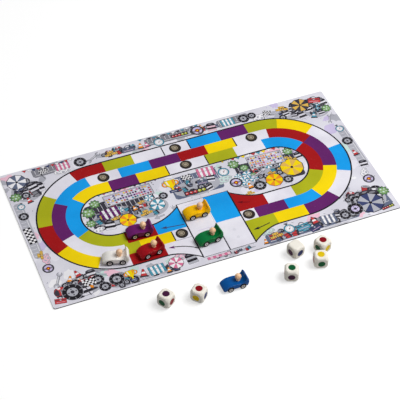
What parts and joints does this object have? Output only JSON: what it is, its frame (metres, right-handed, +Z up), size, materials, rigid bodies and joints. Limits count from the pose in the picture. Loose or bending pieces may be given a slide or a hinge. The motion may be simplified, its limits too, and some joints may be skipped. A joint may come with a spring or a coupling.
{
  "type": "car racing board game",
  "caption": "Folding race-track board laid open, with rolling wooden race cars that each hold a peg driver, and rounded dice with coloured spots.",
  "frame": {"origin": "centre of the whole set's footprint, on the table that the board and the loose pieces stand on", "axes": "+X along the board to the right, +Y to the board's back edge, +Z up"},
  "size_m": [0.69, 0.4586, 0.0314],
  "materials": {
    "greyboard": "matte",
    "print": "satin",
    "backing": "matte",
    "strip": "matte",
    "white_paint": "satin lacquer",
    "red_paint": "satin lacquer",
    "purple_paint": "satin lacquer",
    "yellow_paint": "satin lacquer",
    "green_paint": "satin lacquer",
    "blue_paint": "satin lacquer",
    "bare_wood": "satin",
    "wheel_paint": "satin lacquer",
    "axle_steel": "satin",
    "die_wood": "satin lacquer"
  },
  "bodies": {
    "left_front": {"left_front_core": "greyboard", "left_front_print": "print", "left_front_backing": "backing", "left_strip": "strip", "centre_strip": "strip"},
    "right_front": {"right_front_core": "greyboard", "right_front_print": "print", "right_front_backing": "backing", "right_strip": "strip"},
    "left_back": {"left_back_core": "greyboard", "left_back_print": "print", "left_back_backing": "backing"},
    "right_back": {"right_back_core": "greyboard", "right_back_print": "print", "right_back_backing": "backing"},
    "white_car": {"white_car_body": "white_paint", "white_car_driver": "bare_wood"},
    "white_car_front_wheelset": {"white_car_front_axle": "axle_steel", "white_car_front_wheels": "wheel_paint"},
    "white_car_rear_wheelset": {"white_car_rear_axle": "axle_steel", "white_car_rear_wheels": "wheel_paint"},
    "red_car": {"red_car_body": "red_paint", "red_car_driver": "bare_wood"},
    "red_car_front_wheelset": {"red_car_front_axle": "axle_steel", "red_car_front_wheels": "wheel_paint"},
    "red_car_rear_wheelset": {"red_car_rear_axle": "axle_steel", "red_car_rear_wheels": "wheel_paint"},
    "purple_car": {"purple_car_body": "purple_paint", "purple_car_driver": "bare_wood"},
    "purple_car_front_wheelset": {"purple_car_front_axle": "axle_steel", "purple_car_front_wheels": "wheel_paint"},
    "purple_car_rear_wheelset": {"purple_car_rear_axle": "axle_steel", "purple_car_rear_wheels": "wheel_paint"},
    "yellow_car": {"yellow_car_body": "yellow_paint", "yellow_car_driver": "bare_wood"},
    "yellow_car_front_wheelset": {"yellow_car_front_axle": "axle_steel", "yellow_car_front_wheels": "wheel_paint"},
    "yellow_car_rear_wheelset": {"yellow_car_rear_axle": "axle_steel", "yellow_car_rear_wheels": "wheel_paint"},
    "green_car": {"green_car_body": "green_paint", "green_car_driver": "bare_wood"},
    "green_car_front_wheelset": {"green_car_front_axle": "axle_steel", "green_car_front_wheels": "wheel_paint"},
    "green_car_rear_wheelset": {"green_car_rear_axle": "axle_steel", "green_car_rear_wheels": "wheel_paint"},
    "blue_car": {"blue_car_body": "blue_paint", "blue_car_driver": "bare_wood"},
    "blue_car_front_wheelset": {"blue_car_front_axle": "axle_steel", "blue_car_front_wheels": "wheel_paint"},
    "blue_car_rear_wheelset": {"blue_car_rear_axle": "axle_steel", "blue_car_rear_wheels": "wheel_paint"},
    "die_1": {"die_1": "die_wood"},
    "die_2": {"die_2": "die_wood"},
    "die_3": {"die_3": "die_wood"},
    "die_4": {"die_4": "die_wood"},
    "die_5": {"die_5": "die_wood"},
    "die_6": {"die_6": "die_wood"}
  },
  "joints": [
    {"name": "left_fold", "type": "hinge", "parent": "left_front", "child": "left_back", "pos_m": [-0.1725, 0.04932, 0.0025], "axis": [1, 0, 0], "range_deg": [0, 140], "deforming": ["left_strip"]},
    {"name": "centre_fold", "type": "hinge", "parent": "left_front", "child": "right_front", "pos_m": [0, -0.04068, -0.0001], "axis": [0, 1, 0], "range_deg": [0, 180], "deforming": ["centre_strip"]},
    {"name": "right_fold", "type": "hinge", "parent": "right_front", "child": "right_back", "pos_m": [0.1725, 0.04932, 0.0025], "axis": [1, 0, 0], "range_deg": [0, 180], "deforming": ["right_strip"]},
    {"name": "white_car_roll", "type": "slide", "parent": "left_front", "child": "white_car", "axis": [-0.9613, 0.2756, 0], "range_m": [-0.01, 0.04]},
    {"name": "white_car_front_spin", "type": "hinge", "parent": "white_car", "child": "white_car_front_wheelset", "pos_m": [-0.21605, -0.05851, 0.0085], "axis": [-0.2756, -0.9613, 0], "range_deg": [-98, 384]},
    {"name": "white_car_rear_spin", "type": "hinge", "parent": "white_car", "child": "white_car_rear_wheelset", "pos_m": [-0.19298, -0.06512, 0.0085], "axis": [-0.2756, -0.9613, 0], "range_deg": [-98, 384]},
    {"name": "red_car_roll", "type": "slide", "parent": "left_front", "child": "red_car", "axis": [-0.9903, -0.1392, 0], "range_m": [-0.04, 0.01]},
    {"name": "red_car_front_spin", "type": "hinge", "parent": "red_car", "child": "red_car_front_wheelset", "pos_m": [-0.15039, -0.06828, 0.0085], "axis": [0.1392, -0.9903, 0], "range_deg": [-384, 98]},
    {"name": "red_car_rear_spin", "type": "hinge", "parent": "red_car", "child": "red_car_rear_wheelset", "pos_m": [-0.12662, -0.06494, 0.0085], "axis": [0.1392, -0.9903, 0], "range_deg": [-384, 98]},
    {"name": "purple_car_roll", "type": "slide", "parent": "left_front", "child": "purple_car", "axis": [-0.9962, 0.0872, 0], "range_m": [-0.01, 0.04]},
    {"name": "purple_car_front_spin", "type": "hinge", "parent": "purple_car", "child": "purple_car_front_wheelset", "pos_m": [-0.15346, -0.01317, 0.0085], "axis": [-0.0872, -0.9962, 0], "range_deg": [-98, 384]},
    {"name": "purple_car_rear_spin", "type": "hinge", "parent": "purple_car", "child": "purple_car_rear_wheelset", "pos_m": [-0.12955, -0.01527, 0.0085], "axis": [-0.0872, -0.9962, 0], "range_deg": [-98, 384]},
    {"name": "yellow_car_roll", "type": "slide", "parent": "left_front", "child": "yellow_car", "axis": [-1, 0, 0], "range_m": [0, 0.04]},
    {"name": "yellow_car_front_spin", "type": "hinge", "parent": "yellow_car", "child": "yellow_car_front_wheelset", "pos_m": [-0.0365, -0.00668, 0.0085], "axis": [0, -1, 0], "range_deg": [-2, 384]},
    {"name": "yellow_car_rear_spin", "type": "hinge", "parent": "yellow_car", "child": "yellow_car_rear_wheelset", "pos_m": [-0.0125, -0.00668, 0.0085], "axis": [0, -1, 0], "range_deg": [-2, 384]},
    {"name": "green_car_roll", "type": "slide", "parent": "left_front", "child": "green_car", "axis": [-0.9945, -0.1045, 0], "range_m": [-0.01, 0.04]},
    {"name": "green_car_front_spin", "type": "hinge", "parent": "green_car", "child": "green_car_front_wheelset", "pos_m": [-0.03844, -0.07788, 0.0085], "axis": [0.1045, -0.9945, 0], "range_deg": [-98, 384]},
    {"name": "green_car_rear_spin", "type": "hinge", "parent": "green_car", "child": "green_car_rear_wheelset", "pos_m": [-0.01457, -0.07537, 0.0085], "axis": [0.1045, -0.9945, 0], "range_deg": [-98, 384]},
    {"name": "blue_car_roll", "type": "slide", "parent": "left_front", "child": "blue_car", "axis": [-0.9998, -0.0175, 0], "range_m": [-0.04, 0.02]},
    {"name": "blue_car_front_spin", "type": "hinge", "parent": "blue_car", "child": "blue_car_front_wheelset", "pos_m": [-0.037, -0.19588, 0.0061], "axis": [0.0175, -0.9998, 0], "range_deg": [-384, 193]},
    {"name": "blue_car_rear_spin", "type": "hinge", "parent": "blue_car", "child": "blue_car_rear_wheelset", "pos_m": [-0.013, -0.19546, 0.0061], "axis": [0.0175, -0.9998, 0], "range_deg": [-384, 193]},
    {"name": "die_1_lift", "type": "slide", "parent": "left_front", "child": "die_1", "axis": [0, 0, 1], "range_m": [0, 0.06]},
    {"name": "die_2_lift", "type": "slide", "parent": "left_front", "child": "die_2", "axis": [0, 0, 1], "range_m": [0, 0.06]},
    {"name": "die_3_lift", "type": "slide", "parent": "left_front", "child": "die_3", "axis": [0, 0, 1], "range_m": [0, 0.06]},
    {"name": "die_4_lift", "type": "slide", "parent": "left_front", "child": "die_4", "axis": [0, 0, 1], "range_m": [0, 0.06]},
    {"name": "die_5_lift", "type": "slide", "parent": "left_front", "child": "die_5", "axis": [0, 0, 1], "range_m": [0, 0.06]},
    {"name": "die_6_lift", "type": "slide", "parent": "left_front", "child": "die_6", "axis": [0, 0, 1], "range_m": [0, 0.06]}
  ],
  "couplings": [
    {"joint": "white_car_front_spin", "follows": "white_car_roll", "rad_per_m": 166.67},
    {"joint": "white_car_rear_spin", "follows": "white_car_roll", "rad_per_m": 166.67},
    {"joint": "red_car_front_spin", "follows": "red_car_roll", "rad_per_m": 166.67},
    {"joint": "red_car_rear_spin", "follows": "red_car_roll", "rad_per_m": 166.67},
    {"joint": "purple_car_front_spin", "follows": "purple_car_roll", "rad_per_m": 166.67},
    {"joint": "purple_car_rear_spin", "follows": "purple_car_roll", "rad_per_m": 166.67},
    {"joint": "yellow_car_front_spin", "follows": "yellow_car_roll", "rad_per_m": 166.67},
    {"joint": "yellow_car_rear_spin", "follows": "yellow_car_roll", "rad_per_m": 166.67},
    {"joint": "green_car_front_spin", "follows": "green_car_roll", "rad_per_m": 166.67},
    {"joint": "green_car_rear_spin", "follows": "green_car_roll", "rad_per_m": 166.67},
    {"joint": "blue_car_front_spin", "follows": "blue_car_roll", "rad_per_m": 166.67},
    {"joint": "blue_car_rear_spin", "follows": "blue_car_roll", "rad_per_m": 166.67}
  ]
}
